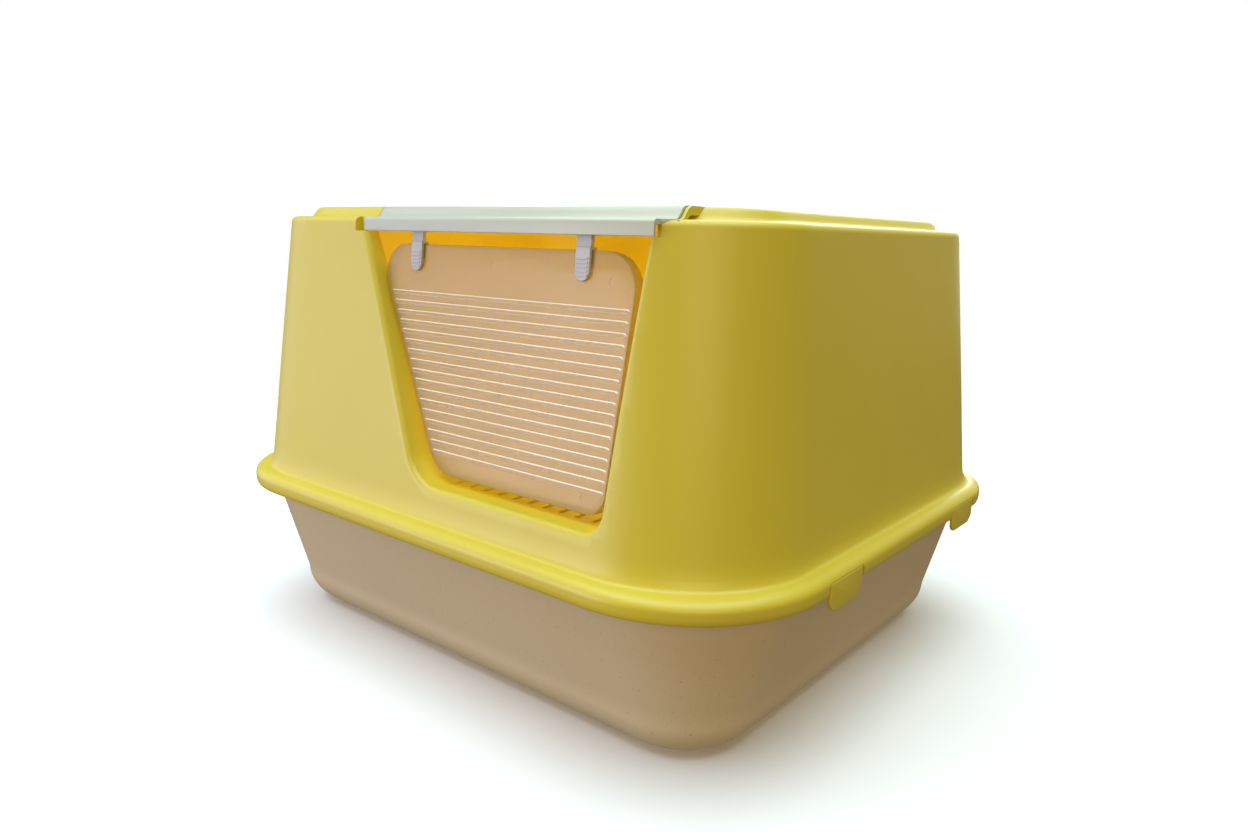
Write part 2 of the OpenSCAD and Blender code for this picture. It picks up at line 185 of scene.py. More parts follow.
CLIP_FINISH = PlasticFinish(
    "clip_white_plastic", (0.46, 0.455, 0.44), (0.49, 0.485, 0.47), 0.34,
    grain_scale=1800.0, grain_depth=0.00002, specular=0.7)
PIN_FINISH = PlasticFinish(
    "pin_brushed_steel", (0.62, 0.62, 0.60), (0.68, 0.68, 0.66), 0.32,
    metallic=1.0, stretch=(0.05, 1.0, 1.0), grain_scale=2600.0,
    grain_depth=0.00001)


# ------------------------------------------------------- modelling helpers


def pick_only(obj: bpy.types.Object) -> None:
    """Deselect everything, then select one object and make it active."""
    if bpy.context.object is not None and bpy.context.object.mode != "OBJECT":
        bpy.ops.object.mode_set(mode="OBJECT")
    for other in bpy.context.selected_objects:
        other.select_set(False)
    obj.select_set(True)
    bpy.context.view_layer.objects.active = obj


def seat_object(obj: bpy.types.Object) -> None:
    """Put the object at the origin, with its place in its mesh."""
    pick_only(obj)
    bpy.ops.object.transform_apply(location=True, rotation=True, scale=True)


def apply_modifier(obj: bpy.types.Object, modifier: bpy.types.Modifier) -> None:
    """Apply one modifier to the object's mesh."""
    pick_only(obj)
    bpy.ops.object.modifier_apply(modifier=modifier.name)


def boolean(obj: bpy.types.Object, tool: bpy.types.Object, how: str) -> None:
    """Join, cut or intersect the object with a tool, which is used up.

    Args:
        obj: The piece that is worked on.
        tool: The solid that adds to it or cuts it.
        how: UNION, DIFFERENCE or INTERSECT.
    """
    mod = obj.modifiers.new("shape", "BOOLEAN")
    mod.operation = how
    mod.solver = "MANIFOLD"
    mod.object = tool
    apply_modifier(obj, mod)
    bpy.data.objects.remove(tool)


def soften(obj: bpy.types.Object, width: float, segments: int = 3,
           angle: float = 40.0) -> None:
    """Round the sharp edges of a piece.

    Args:
        obj: The piece.
        width: The width of the round in millimetres.
        segments: The number of steps across it.
        angle: Edges sharper than this many degrees are rounded.
    """
    mod = obj.modifiers.new("round", "BEVEL")
    mod.width = width * MM
    mod.segments = segments
    mod.limit_method = "ANGLE"
    mod.angle_limit = math.radians(angle)
    apply_modifier(obj, mod)


def finish_piece(obj: bpy.types.Object, name: str, body: str, slot: str,
                 material: bpy.types.Material, *nodes: str,
                 smooth: float = 35.0) -> None:
    """Name, shade and dress a piece, and let it ride on its body.

    Args:
        obj: The finished mesh object.
        name: Its plain name.
        body: The body of the part that it moves with.
        slot: The record's material slot; not used.
        material: The finish.
        nodes: The nodes of the part that it stands for.
        smooth: Edges flatter than this many degrees shade smoothly.
    """
    seat_object(obj)
    obj.name = name
    obj.data.name = name
    obj.data.materials.clear()
    obj.data.materials.append(material)
    bpy.ops.object.shade_smooth_by_angle(angle=math.radians(smooth))
    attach(obj, body)
    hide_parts(*nodes)
    log.info("%s: %d faces", name, len(obj.data.polygons))


def new_block(x: Span, y: Span,
              z: Span, round_by: float = 0.0) -> bpy.types.Object:
    """Add a block between two corners, in millimetres."""
    centre = [(a[0] + a[1]) / 2 * MM for a in (x, y, z)]
    bpy.ops.mesh.primitive_cube_add(size=1.0, location=centre)
    obj = bpy.context.object
    obj.scale = [(a[1] - a[0]) * MM for a in (x, y, z)]
    seat_object(obj)
    if round_by > 0:
        soften(obj, round_by)
    return obj


def new_rod(x: Span, y: float, z: float, radius: float,
            sides: int = 32) -> bpy.types.Object:
    """Add a round rod along X, in millimetres."""
    bpy.ops.mesh.primitive_cylinder_add(
        vertices=sides, radius=radius * MM, depth=(x[1] - x[0]) * MM,
        location=((x[0] + x[1]) / 2 * MM, y * MM, z * MM),
        rotation=(0, math.radians(90), 0))
    obj = bpy.context.object
    seat_object(obj)
    return obj


def start_face(corners: list[Vector]) -> bpy.types.Object:
    """Fill an outline with one selected face, and stay in edit mode."""
    bpy.ops.mesh.primitive_circle_add(vertices=len(corners), fill_type="NGON")
    obj = bpy.context.object
    bpy.ops.object.mode_set(mode="EDIT")
    shape = bmesh.from_edit_mesh(obj.data)
    ring = [loop.vert for loop in list(shape.faces)[0].loops]
    for vert, corner in zip(ring, corners):
        vert.co = corner
    bmesh.update_edit_mesh(obj.data)
    bpy.ops.mesh.select_all(action="SELECT")
    return obj


def face_outwards() -> None:
    """Point all faces outwards, and leave edit mode."""
    bpy.ops.mesh.select_all(action="SELECT")
    bpy.ops.mesh.normals_make_consistent(inside=False)
    bpy.ops.object.mode_set(mode="OBJECT")


def loft_rows(rows: list[list[Vector]]) -> bpy.types.Object:
    """Extrude a filled outline row by row, and seat each row in its place.

    Args:
        rows: Outlines in metres with the same number of points.

    Returns:
        The closed shell.
    """
    obj = start_face(rows[0])
    for here, there in zip(rows, rows[1:]):
        order = {tuple(round(c, 6) for c in p): i for i, p in enumerate(here)}
        bpy.ops.mesh.extrude_region_move(TRANSFORM_OT_translate={"value": (0, 0, 0)})
        shape = bmesh.from_edit_mesh(obj.data)
        for vert in shape.verts:
            if vert.select:
                vert.co = there[order[tuple(round(c, 6) for c in vert.co)]]
        bmesh.update_edit_mesh(obj.data)
    face_outwards()
    return obj


def new_outline(points: Line, axis: str, low: float, high: float) -> bpy.types.Object:
    """Fill an outline and extrude it along an axis.

    Args:
        points: The outline in the two other axes, in millimetres.
        axis: "x" for an outline in (y, z), or "y" for one in (x, z).
        low: Where the extrusion starts on the axis.
        high: Where it ends.

    Returns:
        The closed solid.
    """
    obj = start_face([Vector((low, a, b) if axis == "x" else (a, low, b)) * MM
                      for a, b in points])
    run = (high - low) * MM
    move = (run, 0, 0) if axis == "x" else (0, run, 0)
    bpy.ops.mesh.extrude_region_move(TRANSFORM_OT_translate={"value": move})
    face_outwards()
    return obj


def new_plan(points: Line, low: float, high: float) -> bpy.types.Object:
    """Fill an outline in (x, y), in millimetres, and extrude it upwards."""
    obj = new_outline([(y, x) for x, y in points], "x", low, high)
    obj.data.transform(Matrix(((0, 0, 1, 0), (0, 1, 0, 0), (1, 0, 0, 0),
                               (0, 0, 0, 1))))
    pick_only(obj)
    bpy.ops.object.mode_set(mode="EDIT")
    face_outwards()
    return obj


def join_pieces(pieces: list[bpy.types.Object]) -> bpy.types.Object:
    """Join separate solids into one object."""
    pick_only(pieces[0])
    for piece in pieces:
        piece.select_set(True)
    bpy.ops.object.join()
    return bpy.context.object


def smooth_line(points: Line, steps: int = 3) -> Line:
    """Run a smooth line through points, with a few steps in each span."""
    out = []
    last = len(points) - 1
    for i in range(last):
        p0, p1 = points[max(i - 1, 0)], points[i]
        p2, p3 = points[i + 1], points[min(i + 2, last)]
        for s in range(steps):
            t = s / steps
            out.append(tuple(
                0.5 * (2 * b + (c - a) * t + (2 * a - 5 * b + 4 * c - d) * t * t
                       + (3 * b - a - 3 * c + d) * t ** 3)
                for a, b, c, d in zip(p0, p1, p2, p3)))
    out.append(points[last])
    return out


def corner_arc(p: tuple, c: tuple, q: tuple, radius: float,
               steps: int) -> Line:
    """Round one corner of an outline.

    Args:
        p: The corner before.
        c: The corner that is rounded.
        q: The corner after.
        radius: The radius of the round.
        steps: The number of steps along the arc.

    Returns:
        The points of the arc, from the side of p to the side of q.
    """
    c2 = Vector(c[:2])
    u = (Vector(p[:2]) - c2).normalized()
    v = (Vector(q[:2]) - c2).normalized()
    half = u.angle(v) / 2
    o = c2 + (u + v).normalized() * (radius / math.sin(half))
    s = c2 + u * (radius / math.tan(half)) - o
    e = c2 + v * (radius / math.tan(half)) - o
    a0 = math.atan2(s.y, s.x)
    turn = (math.atan2(e.y, e.x) - a0 + 3 * math.pi) % (2 * math.pi) - math.pi
    return [(o.x + radius * math.cos(a0 + turn * i / steps),
             o.y + radius * math.sin(a0 + turn * i / steps))
            for i in range(steps + 1)]


def rounded(corners: list[tuple[float, float, float]],
            steps: int = 10) -> Line:
    """Round the corners of an outline; each corner is (a, b, radius)."""
    out = []
    for i, c in enumerate(corners):
        if c[2] > 0:
            out += corner_arc(corners[i - 1], c, corners[(i + 1) % len(corners)],
                              c[2], steps)
        else:
            out.append((c[0], c[1]))
    return out


@dataclass(frozen=True)
class Ring:
    """One level of a wall: a rounded rectangle about the middle, in mm."""

    half_x: float
    half_y: float
    radius: float
    z: float

    def inset(self, by: float, z: float | None = None) -> Ring:
        """Return this ring moved evenly inwards, and to another height."""
        return Ring(self.half_x - by, self.half_y - by, self.radius - by,
                    self.z if z is None else z)

    def towards(self, other: Ring, t: float, off: float, z: float) -> Ring:
        """Return a ring between this one and another.

        Args:
            other: The other ring.
            t: How far towards it, from 0 to 1.
            off: How far the result is moved inwards.
            z: The height of the result.

        Returns:
            The ring.
        """
        return Ring(self.half_x + (other.half_x - self.half_x) * t - off,
                    self.half_y + (other.half_y - self.half_y) * t - off,
                    self.radius + (other.radius - self.radius) * t - off, z)

    def points(self, arc: int, run_x: int, run_y: int) -> list[Vector]:
        """Place the ring's points.

        Args:
            arc: Steps round each corner.
            run_x: Steps along the front and the back.
            run_y: Steps along the two sides.

        Returns:
            The points in metres, in order round the ring.
        """
        signs = [(1, 1), (-1, 1), (-1, -1), (1, -1)]
        out = []
        for k, (sx, sy) in enumerate(signs):
            cx = sx * (self.half_x - self.radius)
            cy = sy * (self.half_y - self.radius)
            for i in range(arc + 1):
                a = math.pi / 2 * (k + i / arc)
                out.append(Vector((cx + self.radius * math.cos(a),
                                   cy + self.radius * math.sin(a), self.z)))
            nx, ny = signs[(k + 1) % 4]
            a = math.pi / 2 * (k + 1)
            end = Vector((nx * (self.half_x - self.radius)
                          + self.radius * math.cos(a),
                          ny * (self.half_y - self.radius)
                          + self.radius * math.sin(a), self.z))
            run = run_x if k % 2 == 0 else run_y
            start = out[-1]
            out += [start.lerp(end, j / run) for j in range(1, run)]
        return [p * MM for p in out]


def loft(rings: list[Ring], arc: int = 22, run_x: int = 36,
         run_y: int = 28) -> bpy.types.Object:
    """Build a closed shell from rings.

    Args:
        rings: The levels, from one closed end to the other.
        arc: Steps round each corner.
        run_x: Steps along the front and the back.
        run_y: Steps along the two sides.

    Returns:
        The closed shell.
    """
    return loft_rows([ring.points(arc, run_x, run_y) for ring in rings])


# ------------------------------------------------------------------- tray


@dataclass
class Tray:
    """The deep beige tray with a rounded foot and an out-turned rim."""

    low: Ring = Ring(239.1, 200.3, 58.7, 32.0)
    top: Ring = Ring(262.0, 226.9, 89.2, 116.2)
    rim_top: float = 129.4
    rim: Ring = Ring(272.0, 236.1, 98.2, 129.4)
    wall: float = 2.6
    edge: float = 32.0
    outer_heights: tuple = (40, 52, 66, 80, 94, 108, 116.2, 123)
    inner_heights: tuple = (116, 100, 80, 60, 44)

    def level(self, z: float, off: float) -> Ring:
        """Return the tray's wall at a height, moved inwards."""
        t = (z - self.low.z) / (self.top.z - self.low.z)
        return self.low.towards(self.top, t, off, z)

    def foot(self, angle: float, off: float) -> Ring:
        """Return one level of the rounded bottom edge."""
        a = math.radians(angle)
        s = (self.edge - off) * (1 - math.sin(a)) + off
        return Ring(self.low.half_x - s, self.low.half_y - s,
                    self.low.radius - 0.9 * s,
                    off + (self.edge - off) * (1 - math.cos(a)))

    def build(self, material: bpy.types.Material) -> None:
        """Model the tray and dress it.

        Args:
            material: The tray's finish.
        """
        angles = [90 * i / 12 for i in range(13)]
        outer = [self.foot(0, 0).inset(9, 0.0), self.foot(0, 0).inset(3, 0.0)]
        outer += [self.foot(a, 0) for a in angles]
        outer += [self.level(z, 0) for z in self.outer_heights]
        rim = self.rim
        outer += [self.level(126.2, 0), rim.inset(1.0, self.rim_top - 2.7),
                  rim.inset(0.3, self.rim_top - 2.3), rim.inset(0, self.rim_top - 1.6),
                  rim.inset(0, self.rim_top - 0.9), rim.inset(0.3, self.rim_top - 0.3),
                  rim.inset(0.9, self.rim_top)]
        inner = [self.level(self.rim_top, self.wall - 0.6),
                 self.level(self.rim_top - 0.4, self.wall - 0.2),
                 self.level(self.rim_top - 1, self.wall)]
        inner += [self.level(z, self.wall) for z in self.inner_heights]
        inner += [self.foot(a, self.wall) for a in reversed(angles)]
        inner += [self.foot(0, self.wall).inset(3), self.foot(0, self.wall).inset(9)]
        tray = loft(outer + inner, arc=20, run_x=16, run_y=14)
        finish_piece(tray, "tray_body_shell", "tray_body", "tray_plastic", material,
                     "tray")


# ------------------------------------------------------------------- hood


@dataclass
class Entry:
    """The slanted entry in the front of the hood."""

    top_z: float = 337.0
    sill_z: float = 157.2
    top_x: Span = (-78.7, 188.6)
    low_x: Span = (-3.7, 173.3)
    radii: Span = (32.0, 16.0)

    def slopes(self) -> Span:
        """Return how far each side slants outwards for each unit of rise."""
        rise = self.top_z - self.sill_z
        return ((self.low_x[0] - self.top_x[0]) / rise,
                (self.top_x[1] - self.low_x[1]) / rise)

    def outline(self, grow: float, top: float, steps: int = 14,
                run: int = 24) -> Line:
        """Return the outline in (x, z), grown outwards and cut off at a height.

        Args:
            grow: How far outwards, in millimetres.
            top: The height where the two sides end.
            steps: Steps round each of the two lower corners.
            run: Steps along each side and the sill.

        Returns:
            The points from the top left down, along the sill and up again.
        """
        left, right = self.slopes()
        low = self.sill_z - grow
        out_l = self.low_x[0] - grow * math.hypot(1, left)
        out_r = self.low_x[1] + grow * math.hypot(1, right)
        tl = (out_l - left * (top - self.sill_z), top)
        tr = (out_r + right * (top - self.sill_z), top)
        bl = (out_l + left * grow, low)
        br = (out_r - right * grow, low)
        arc_l = corner_arc(tl, bl, br, self.radii[0] + grow, steps)
        arc_r = corner_arc(bl, br, tr, self.radii[1] + grow, steps)

        def side(a: tuple, b: tuple) -> Line:
            """Return evenly spaced points from a up to, not including, b."""
            return [(a[0] + (b[0] - a[0]) * i / run, a[1] + (b[1] - a[1]) * i / run)
                    for i in range(run)]

        return (side(tl, arc_l[0]) + arc_l + side(arc_l[-1], arc_r[0])[1:]
                + arc_r + side(arc_r[-1], tr)[1:] + [tr])


@dataclass
class Hood:
    """The yellow hood: bead, tapered walls, stepped deck, entry and lid seat."""

    bead_out: Ring = Ring(280.0, 243.4, 104.2, 0.0)
    bead_in: Ring = Ring(266.3, 231.0, 95.4, 0.0)
    wall_low: Ring = Ring(266.3, 231.0, 95.4, 132.8)
    rim: Ring = Ring(248.3, 209.0, 90.0, 347.3)
    deck_z: float = 355.4
    thick: float = 2.8
    deck_inset: float = 14.0
    step_run: float = 10.5
    step_shape: tuple = ((0, 0), (0.14, 0.05), (0.29, 0.17), (0.43, 0.38),
                         (0.57, 0.64), (0.71, 0.85), (0.86, 0.96), (1, 1))
    bead_line: tuple = ((0.2, 116.2), (0.06, 117.6), (0, 121), (0, 125.2),
                        (0.07, 128), (0.25, 130.4), (0.5, 131.8), (0.72, 132.5),
                        (0.88, 133.9), (0.98, 136.8))
    bead_back: tuple = ((0.7, 129.9), (0.45, 129.5), (0.27, 127.6), (0.2, 125.4),
                        (0.2, 121.5), (0.25, 118.2), (0.37, 116.2))
    entry: Entry = field(default_factory=Entry)
    lid_x: Span = (-86.5, 200.0)
    pocket_x: Span = (-92.5, 195.3)
    lid_back: float = 22.0
    lip_z: float = 337.1
    hinge_x: Span = (-35.0, 155.0)
    knuckle: float = 24.0
    pin_r: float = 1.85
    hinge_back: float = 8.0
    hinge_drop: float = 3.8
    knuckle_r: float = 3.6
    fillet: float = 4.0
    skin: float = 3.0
    side_gap: float = 0.6
    back_gap: float = 1.4
    ledge: float = 2.4
    pocket_low: float = 334.2
    inner_heights: tuple = (325, 305, 280, 250, 220, 190, 165, 145, 133)
    groove_first: float = 2.7
    groove_pitch: float = 14.7
    groove_width: float = 5.0
    grooves: int = 11
    above: float = 380.0

    @property
    def cut_z(self) -> float:
        """The height of the cut under the lid's lip."""
        return self.lip_z - 0.4

    @property
    def opening_x(self) -> Span:
        """The two sides of the lid's opening."""
        return self.lid_x[0] - self.side_gap, self.lid_x[1] + self.side_gap

    @property
    def opening_back(self) -> float:
        """The rear edge of the lid's opening."""
        return self.lid_back + self.back_gap

    @property
    def hinge(self) -> Span:
        """The lid's hinge line in (y, z)."""
        return self.lid_back + self.hinge_back, self.deck_z - self.hinge_drop

    def bead(self, t: float, z: float) -> Ring:
        """Return the bead from its outermost line, 0, in to the wall, 1."""
        return self.bead_out.towards(self.bead_in, t, 0, z)

    def wall(self, z: float, off: float, at: float | None = None) -> Ring:
        """Return the wall at a height, moved inwards."""
        t = (z - self.wall_low.z) / (self.rim.z - self.wall_low.z)
        return self.wall_low.towards(self.rim, t, off, z if at is None else at)

    def front(self, x: float, z: float) -> float:
        """Return the Y of the outer face at a place on the front, in mm."""
        ring = self.wall(z, 0)
        over = abs(x) - (ring.half_x - ring.radius)
        if over <= 0:
            return -ring.half_y
        return -(ring.half_y - ring.radius) - math.sqrt(
            max(ring.radius ** 2 - over ** 2, 0.0))

    def step_line(self, drop: float, back: float) -> Line:
        """Return the step up to the deck in (y, z), lowered and moved back."""
        foot = -self.rim.half_y + self.deck_inset
        rise = self.deck_z - self.rim.z
        return [(foot + self.step_run * s + back, self.rim.z + rise * h - drop)
                for s, h in self.step_shape]

    def shell(self) -> bpy.types.Object:
        """Model the closed shell before anything is cut from it."""
        rise = self.deck_z - self.rim.z
        step = smooth_line(list(self.step_shape), 2)
        rim = Ring(self.rim.half_x, self.rim.half_y, self.rim.radius, 0)

        def deck(run: float, z: float) -> Ring:
            """Return the rim moved evenly inwards, at a height."""
            return rim.inset(run, z)

        inner_edge = self.deck_inset + self.step_run + 1.2
        rings = [deck(inner_edge + 12, self.deck_z - self.skin),
                 deck(inner_edge + 4, self.deck_z - self.skin)]
        rings += [deck(self.deck_inset + self.step_run * s + 1.2,
                       self.rim.z + rise * h - self.skin) for s, h in reversed(step)]
        rings += [deck(6.8, self.rim.z - self.skin),
                  self.wall(self.rim.z - 5, self.thick + 1, self.rim.z - 3.5),
                  self.wall(self.rim.z - 6, self.thick)]
        rings += [self.wall(z, self.thick)
                  for z in self.inner_heights]
        rings += [self.wall(132, self.thick, 129.9)]
        rings += [self.bead(max(t, 0.0), z) for t, z in
                  smooth_line(list(self.bead_back), 2)
                  + smooth_line(list(self.bead_line), 3)]
        rings += [self.wall(z, 0) for z in range(140, 341, 8)]
        rings += [self.wall(self.rim.z - 5, 5 * (1 - math.cos(a)),
                            self.rim.z - 5 + 5 * math.sin(a))
                  for a in [math.pi / 2 * i / 7 for i in range(8)]]
        rings += [deck(9.5, self.rim.z)]
        rings += [deck(self.deck_inset + self.step_run * s, self.rim.z + rise * h)
                  for s, h in step]
        rings += [deck(self.deck_inset + self.step_run + 3, self.deck_z),
                  deck(self.deck_inset + self.step_run + 12, self.deck_z)]
        return loft(rings)

    def jamb(self) -> bpy.types.Object:
        """Model the ring of wall that turns in round the entry, and its sill."""
        ring = new_outline(self.entry.outline(self.thick, self.cut_z), "y",
                           -232, -199)
        sill = new_block((4, 168), (-215, -190),
                         (self.entry.sill_z - self.thick, self.entry.sill_z + 8))
        boolean(ring, sill, "UNION")
        skin = loft([self.wall(135, 0.8), self.wall(self.rim.z - 6, 0.8)])
        boolean(ring, skin, "INTERSECT")
        return ring

    def entry_cutter(self) -> bpy.types.Object:
        """Model the solid that cuts the entry, with its soft outer round."""
        r = self.fillet
        top = self.cut_z
        levels = [(r + 1.4, -14.0), (r + 1.4, -0.42)]
        for i in range(1, 9):
            a = math.pi / 2 * i / 8
            levels.append((r * (1 - math.sin(a)), r * (1 - math.cos(a))))
        rows = []
        for grow, depth in levels:
            rows.append([Vector((x, self.front(x, z) + depth, z)) * MM
                         for x, z in self.entry.outline(grow, top)])
        rows.append([Vector((x, -170, z)) * MM
                     for x, z in self.entry.outline(0, top)])
        return loft_rows(rows)

    def shelf(self, x: Span, y: Span,
              up: float) -> bpy.types.Object:
        """Model one strip of the shelf that carries the lid."""
        line = [(-230.0, self.rim.z)] + self.step_line(0, 1.5) + [(60.0, self.deck_z)]

        def part(drop: float) -> Line:
            """Return the shelf line between the two ends, lowered."""
            inside = [(a, b - drop) for a, b in line if y[0] < a < y[1]]
            ends = []
            for e in y:
                for (a, b), (c, d) in zip(line, line[1:]):
                    if a <= e <= c:
                        ends.append((e, b + (d - b) * (e - a) / (c - a) - drop))
                        break
            return [ends[0]] + inside + [ends[1]]

        return new_outline(part(5.6) + part(up)[::-1], "x", *x)

    def seat(self) -> list[bpy.types.Object]:
        """Model the shelf round the lid opening, the lip pockets and the hinges."""
        (x0, x1), y1, top = self.opening_x, self.opening_back, self.cut_z
        y2 = y1 + self.ledge
        parts = [self.shelf((x0 - self.ledge, x0), (-204, y2), 0.5),
                 self.shelf((x1, x1 + self.ledge), (-196, y2), 0.5),
                 self.shelf((x0 - 1, x0 + 9), (-204, y2), self.skin),
                 self.shelf((x1 - 11, x1 + 1), (-196, y2), self.skin),
                 self.shelf((x0 - 1, x1 + 1), (y1 - 9, y2), self.skin),
                 self.shelf((x0 - 1, x1 + 1), (y1, y2), 0.5)]
        low = self.pocket_low
        left, right = self.pocket_x
        parts += [new_block((left - 2, -78), (-206.8, -202), (low, top)),
                  new_block((left - 2, x0), (-204, -202), (low, self.rim.z - 1)),
                  new_block((left - 2, left), (-206.8, -202), (low, self.rim.z - 1)),
                  new_block((189.5, right + 2), (-200.5, -195), (low, top)),
                  new_block((189.5, right + 2), (-198, -195), (low, self.rim.z - 3)),
                  new_block((right, right + 2), (-199.4, -196.6),
                            (low, self.rim.z - 1))]
        y, z = self.hinge
        for x in self.hinge_x:
            for s in (-1, 1):
                c = x + s * (self.knuckle / 2 + 4.5)
                parts += [new_rod((c - 4, c + 4), y, z, self.knuckle_r),
                          new_block((c - 4, c + 4), (y - 5.6, y + 3.6), (z - 4.6, z)),
                          new_block((c - 4, c + 4), (y - 5.6, y + 5), (z, z + 1.5))]
        return parts

    def knuckle_room(self, y0: float, z0: float) -> list[bpy.types.Object]:
        """Model the rooms that are cut for the lid's knuckles."""
        half = self.knuckle / 2 + 0.5
        return [new_block((x - half, x + half), (y0, self.lid_back + 12.8),
                          (z0, self.above))
                for x in self.hinge_x]

    def build(self, material: bpy.types.Material) -> None:
        """Model the hood, cut it, add its seat, and dress it.

        Args:
            material: The hood's finish.
        """
        hood = self.shell()
        boolean(hood, self.jamb(), "UNION")
        boolean(hood, self.entry_cutter(), "DIFFERENCE")
        (x0, x1), y1, top = self.opening_x, self.opening_back, self.cut_z
        above = self.above
        seat_cut = [(-240.0, top), (-204.0, top), (-204.0, self.rim.z - 3)]
        seat_cut += self.step_line(self.skin, 1.5)
        seat_cut += [(y1, self.deck_z - self.skin), (y1, above), (-240.0, above)]
        left, right = self.pocket_x
        recess = new_outline(seat_cut, "x", -100, 210)
        plan = [(left, -240), (left, -204), (x0, -204), (x0, y1), (x1, y1),
                (x1, -196), (right, -201.4), (right, -240)]
        boolean(recess, new_plan(plan, 320, above), "INTERSECT")
        for tool in [recess,
                     new_block((-78, 189.5), (-240, y1 - 9), (top, above)),
                     new_block((150, right), (-240, -198), (top, above)),
                     *self.knuckle_room(y1 - 1, 300)]:
            boolean(hood, tool, "DIFFERENCE")
        for part in self.seat():
            boolean(hood, part, "UNION")
        for tool in self.knuckle_room(y1 - 12, self.deck_z - 12):
            boolean(hood, tool, "DIFFERENCE")
        cuts = []
        for i in range(self.grooves):
            x = self.groove_first + i * self.groove_pitch
            cuts.append(new_block((x, x + self.groove_width), (-207, -180),
                                  (self.entry.sill_z - 1.4, self.entry.sill_z + 1)))
        y, z = self.hinge
        half = self.knuckle / 2 + 8
        cuts += [new_rod((x - half, x + half), y, z, self.pin_r)
                 for x in self.hinge_x]
        for y in LatchTabs().places:
            for s in (1, -1):
                xs = sorted((275.4 * s, 282 * s))
                cuts += [new_block((xs[0], xs[1]), (y - 25.4, y + 25.4), (110, 124.6)),
                         new_block((xs[0], xs[1]), (y - 23.5, y + 23.5),
                                   (124.0, 126.4))]
        for tool in cuts:
            boolean(hood, tool, "DIFFERENCE")
        finish_piece(hood, "hood_shell", "hood_body", "hood_plastic", material, "hood",
                     smooth=32.0)


# ------------------------------------------------------------ latch tabs


@dataclass
class LatchTabs:
    """The four sprung tabs that hang from the hood's bead."""

    places: Span = (-102.0, 115.0)
    width: float = 46.0
    low: float = 106.0
    top: float = 125.9
    outer: float = 280.0
    thick: float = 2.5

    def build(self, material: bpy.types.Material) -> None:
        """Model one tab, copy it to its four places, and dress the copies.

        Args:
            material: The hood's finish.
        """
        for y, word in zip(self.places, ("front", "rear")):
            for side in Side:
                half = self.width / 2
                a, b = y - half, y + half
                outline = rounded([(a, self.low, 8), (b - 8, self.low, 0),
                                   (b - 7, self.low, 2), (b, self.low + 5, 2),
                                   (b, self.top, 0.8), (a, self.top, 0.8)], 6)
                xs = sorted((side.value * (self.outer - self.thick),
                             side.value * self.outer))
                tab = new_outline(outline, "x", xs[0], xs[1])
                soften(tab, 0.7, 3)
                name = f"latch_tab_{word}_{side.name.lower()}"
                finish_piece(tab, name + "_looks", f"tab_{word}_{side.name.lower()}",
                             "hood_plastic", material, name)


# -------------------------------------------------------------------- lid


@dataclass
class Lid:
    """The pale lid: a stepped plate with a front lip, knuckles and rod ears."""

    x: Span = (-86.5, 200.0)
    lip_x: Span = (-83.5, 194.6)
    front: float = -208.0
    back: float = 22.0
    lip_z: float = 337.1
    plate: float = 2.6
    hinge_x: Span = (-35.0, 155.0)
    knuckle: float = 24.0
    rod: Span = (-200.9, 339.4)
    rod_hole: float = 1.65
    clip_x: Span = (-25.3, 137.2)
    ear_offset: float = 8.7
    ear_r: float = 2.6

    def section(self, hood: Hood) -> Line:
        """Return the lid's section in (y, z)."""
        rim = hood.rim.z
        f = self.front
        out = [(f + 1.8, self.lip_z), (f + 0.5, self.lip_z), (f, self.lip_z + 0.5),
               (f, self.lip_z + 3)]
        for i in range(7):
            a = math.pi / 2 * i / 6
            out.append((f + 2.6 - 2.6 * math.cos(a), rim - 2.6 + 2.6 * math.sin(a)))
        out += smooth_line(hood.step_line(0, 0), 2)
        out += [(self.back, hood.deck_z), (self.back, hood.deck_z - self.plate)]
        out += smooth_line(hood.step_line(self.plate, 1.1), 2)[::-1]
        out += [(f + 4.4, rim - self.plate), (f + 1.8, rim - self.plate - 2.2)]
        return out

    def build(self, hood: Hood, material: bpy.types.Material) -> None:
        """Model the lid and dress it.

        Args:
            hood: The hood, whose step the lid follows.
            material: The lid's finish.
        """
        lid = new_outline(self.section(hood), "x", *self.x)
        (a, b), (c, d) = self.lip_x, self.x
        boolean(lid, new_plan([(a, -212), (a, -203.4), (c - 1, -203.4),
                               (c - 1, -212)], 330, 360), "DIFFERENCE")
        boolean(lid, new_plan([(b, -212), (b, -201.6), (d, -196.6), (d + 1, -196.6),
                               (d + 1, -212)], 330, 360), "DIFFERENCE")
        soften(lid, 0.8, 3, 50.0)
        y, z = hood.hinge
        parts = []
        for x in self.hinge_x:
            half = self.knuckle / 2
            parts += [new_block((x - half, x + half), (self.back - 2, y),
                                (hood.deck_z - self.plate, hood.deck_z - 0.2)),
                      new_rod((x - half, x + half), y, z, hood.knuckle_r)]
        ry, rz = self.rod
        r = self.ear_r
        for c in self.clip_x:
            for s in (-self.ear_offset, self.ear_offset):
                x = (c + s - 1.5, c + s + 1.5)
                parts += [new_rod(x, ry, rz, r),
                          new_block(x, (ry - r, ry + r), (rz, hood.rim.z - 1.5))]
        for part in parts:
            boolean(lid, part, "UNION")
        boolean(lid, new_rod((-90, 205), y, z, hood.pin_r), "DIFFERENCE")
        boolean(lid, new_rod((-60, 175), ry, rz, self.rod_hole), "DIFFERENCE")
        finish_piece(lid, "lid_plate", "lid_body", "lid_plastic", material, "lid")


# ------------------------------------------------------------------- door


